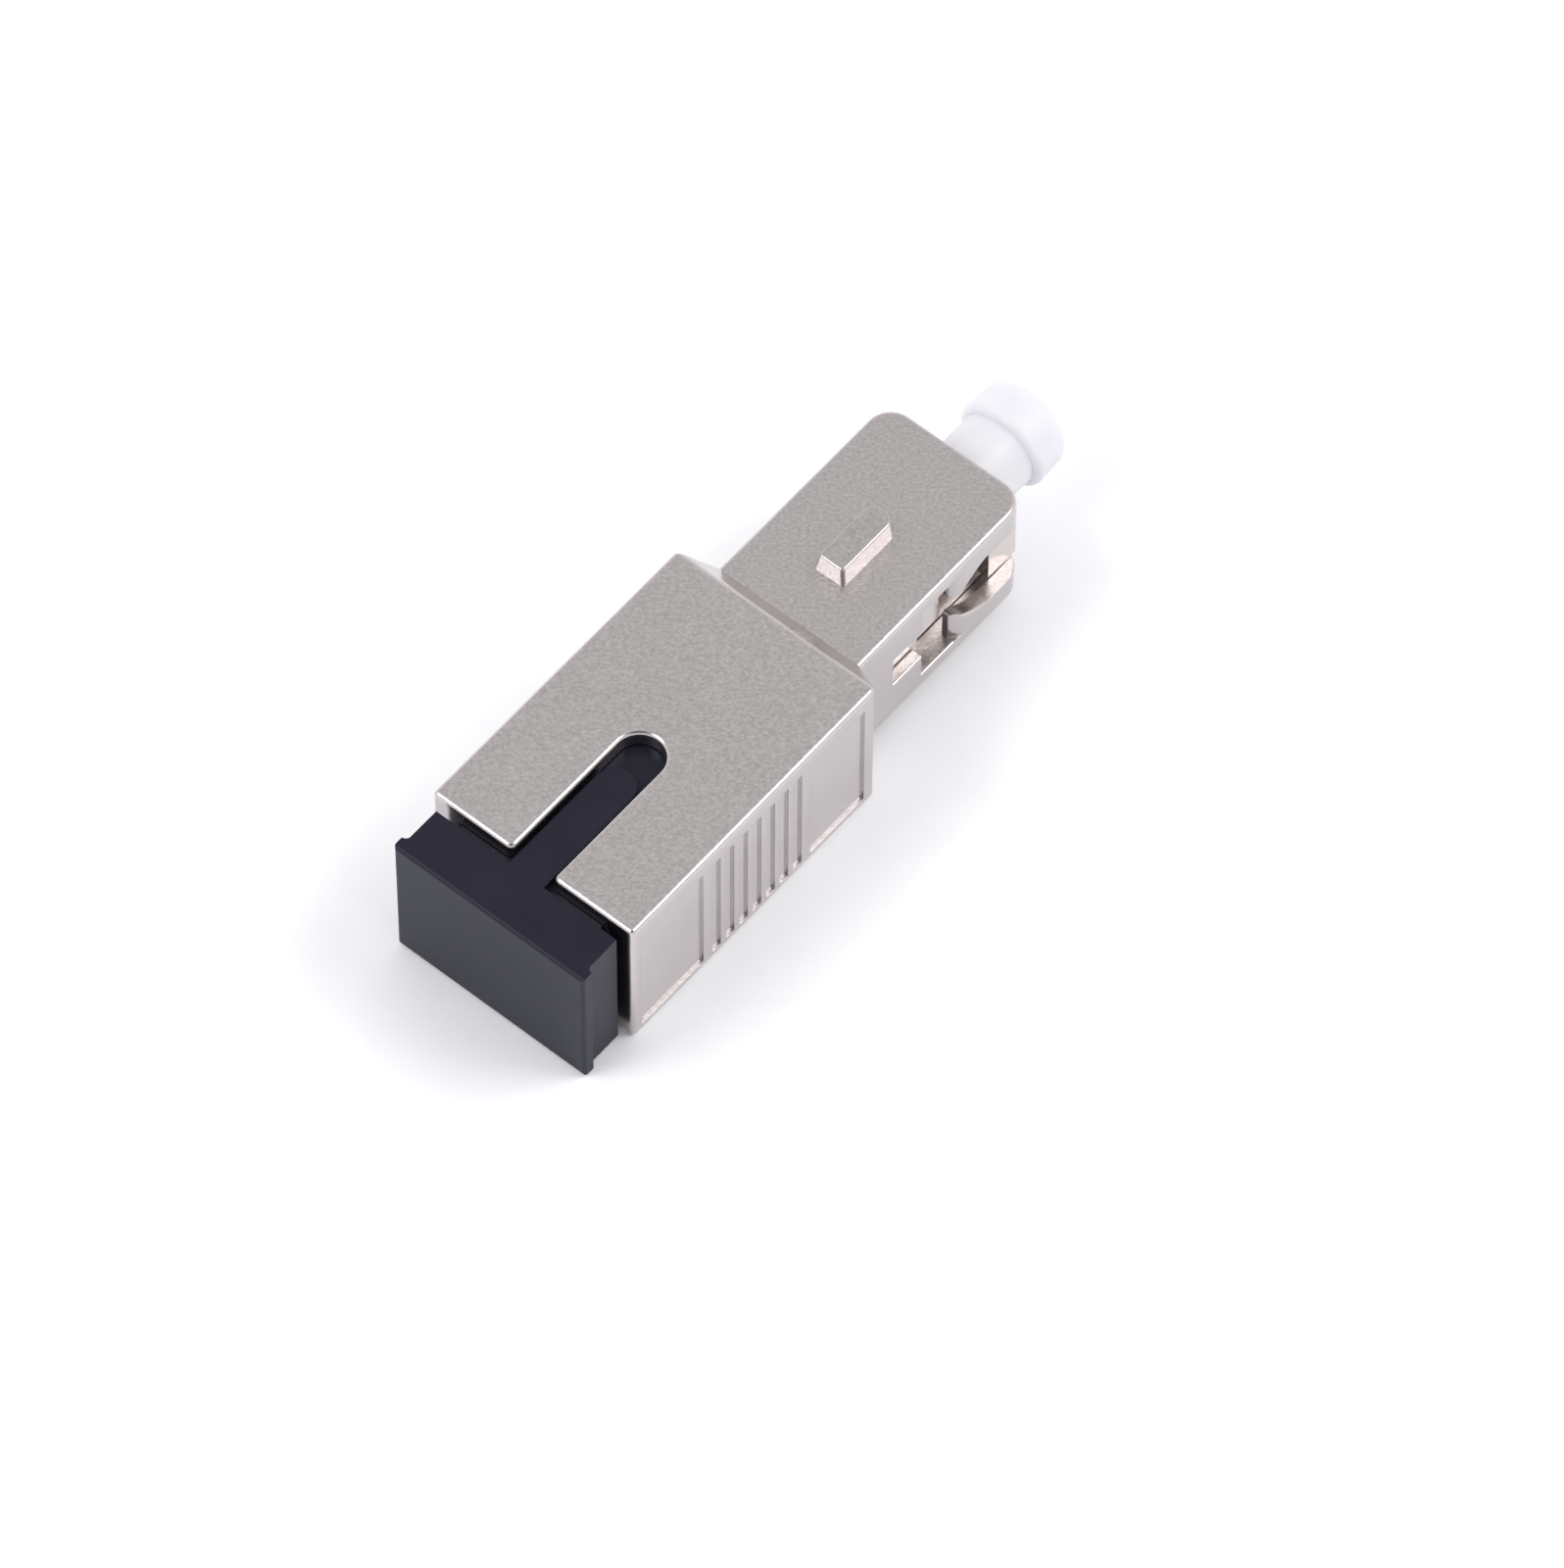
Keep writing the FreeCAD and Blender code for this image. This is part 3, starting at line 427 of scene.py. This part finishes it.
def make_close_frame():
    """The plug frame with its plain sides a hair off the shell's walls, so that no dark slit shows."""
    frame_piece = stand_in("close_frame", "plug_frame")
    for vertex in frame_piece.data.vertices:
        if abs(abs(vertex.co.y) - FRAME_SIDE) < FRAME_TOLERANCE:
            vertex.co.y = math.copysign(FRAME_SIDE + FRAME_REACH, vertex.co.y)


def make_soft_spring():
    """The coil as a piece of the plug core, with a mesh of its own."""
    coil = stand_in("coil_spring", "ferrule_spring")
    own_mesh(coil)


def floor_material():
    """White paper: a little brighter to the camera and in reflections than the light alone would make it."""
    shader = new_shader("white_sweep")
    rays = shader.add("ShaderNodeLightPath").outputs
    seen = rays["Is Camera Ray"]
    for kind in ("Is Glossy Ray", "Is Transmission Ray"):
        either = shader.add("ShaderNodeMath", links={0: seen, 1: rays[kind]}, operation="MAXIMUM")
        seen = either.outputs["Value"]
    fibres = shader.noise(size_mm=0.9, detail=3.0)
    paper = shader.colour(fibres, *PAPER)
    gain = shader.between(seen, low=1.0, high=FLOOR_GAIN)
    level = shader.add("ShaderNodeVectorMath", links={0: paper, "Scale": gain}, operation="SCALE")
    diffuse = shader.add("ShaderNodeBsdfDiffuse", links={"Color": level.outputs["Vector"]})
    shader.show(diffuse.outputs["BSDF"])
    return shader.owner


def make_floor():
    """A wide sheet just under the part."""
    half = FLOOR_SIZE / 2
    mesh = bpy.data.meshes.new("floor")
    corners = [(-half, -half, 0), (half, -half, 0), (half, half, 0), (-half, half, 0)]
    mesh.from_pydata(corners, [], [(0, 1, 2, 3)])
    mesh.materials.append(floor_material())
    floor = add_object("floor", mesh)
    floor.location.z = CAD_BOX[0][2] - FLOOR_DROP


def away_from_part(azimuth, elevation):
    """The direction from the part to something at that azimuth, 0 being on the -Y side, and elevation."""
    turn, rise = math.radians(azimuth), math.radians(elevation)
    return Vector((math.cos(rise) * math.sin(turn), -math.cos(rise) * math.cos(turn), math.sin(rise)))


def make_world():
    """The tent: brightness by height, with a soft dark opening for the photographer."""
    world = bpy.data.worlds.new("tent")
    bpy.context.scene.world = world
    shader = Shader(world, "ShaderNodeOutputWorld")
    direction = shader.add("ShaderNodeTexCoord").outputs["Generated"]
    sine = shader.add("ShaderNodeSeparateXYZ", links={"Vector": direction}).outputs["Z"]
    height = shader.between(sine, TENT_HORIZON, TENT_OVERHEAD, *TENT_SINES)
    cosine = shader.add(
        "ShaderNodeVectorMath",
        {1: away_from_part(CAMERA_AZIMUTH, CAMERA_ELEVATION)},
        {0: direction},
        operation="DOT_PRODUCT",
    ).outputs["Value"]
    opening = shader.between(cosine, 1.0, PHOTOGRAPHER_SHADE, *PHOTOGRAPHER_COSINES)
    level = shader.add("ShaderNodeMath", links={0: height, 1: opening}, operation="MULTIPLY")
    background = shader.add(
        "ShaderNodeBackground", {"Color": (1.0, 1.0, 1.0, 1.0)}, {"Strength": level.outputs["Value"]}
    )
    shader.show(background.outputs["Background"])


def make_lamp(name, azimuth, elevation, power):
    """A square soft lamp that looks at the part."""
    lamp = bpy.data.lights.new(name, "AREA")
    lamp.shape = "SQUARE"
    lamp.size = LAMP_SIZE
    lamp.energy = power
    obj = add_object(name, lamp)
    away = away_from_part(azimuth, elevation)
    obj.location = CAMERA_TARGET + away * LAMP_DISTANCE
    obj.rotation_euler = (-away).to_track_quat("-Z", "Y").to_euler()


def make_camera():
    """The photo's camera, far off with a long lens."""
    camera = bpy.data.cameras.new("camera")
    camera.lens = CAMERA_LENS_MM
    camera.sensor_width = CAMERA_SENSOR_MM
    camera.clip_start, camera.clip_end = CAMERA_CLIP
    obj = add_object("camera", camera)
    away = away_from_part(CAMERA_AZIMUTH, CAMERA_ELEVATION)
    aim = (-away).to_track_quat("-Z", "Y").to_matrix().to_4x4()
    roll = Matrix.Rotation(math.radians(-CAMERA_ROLL), 4, "Z")
    obj.matrix_world = Matrix.Translation(CAMERA_TARGET + away * CAMERA_DISTANCE) @ aim @ roll
    bpy.context.scene.camera = obj


dress(nickel("satin_nickel", *SATIN_NICKEL), "main_housing")
# The frame's nickel is brighter and warmer than the shell's: painted light and warm reflection
dress(nickel("frame_nickel_painted_light", *FRAME_NICKEL_PAINTED_LIGHT), "plug_frame")
dress(black_plastic(), "dust_plug")
dress(ivory_plastic(), "spring_stop", "latch_insert", "sleeve_retainer")
dress(cap_plastic(), "ferrule_cap")
dress(ceramic(), "ferrule", "split_sleeve")
dress(steel(), "ferrule_flange", "ferrule_spring")
dress(silica(), "attenuating_fibre")
make_key()
make_close_frame()
make_soft_spring()

make_floor()
make_world()
make_lamp("right_softbox", azimuth=43.0, elevation=50.0, power=0.65)
make_lamp("left_softbox", azimuth=-126.0, elevation=49.0, power=0.7)
make_camera()
bpy.context.scene.view_settings.view_transform = "Standard"
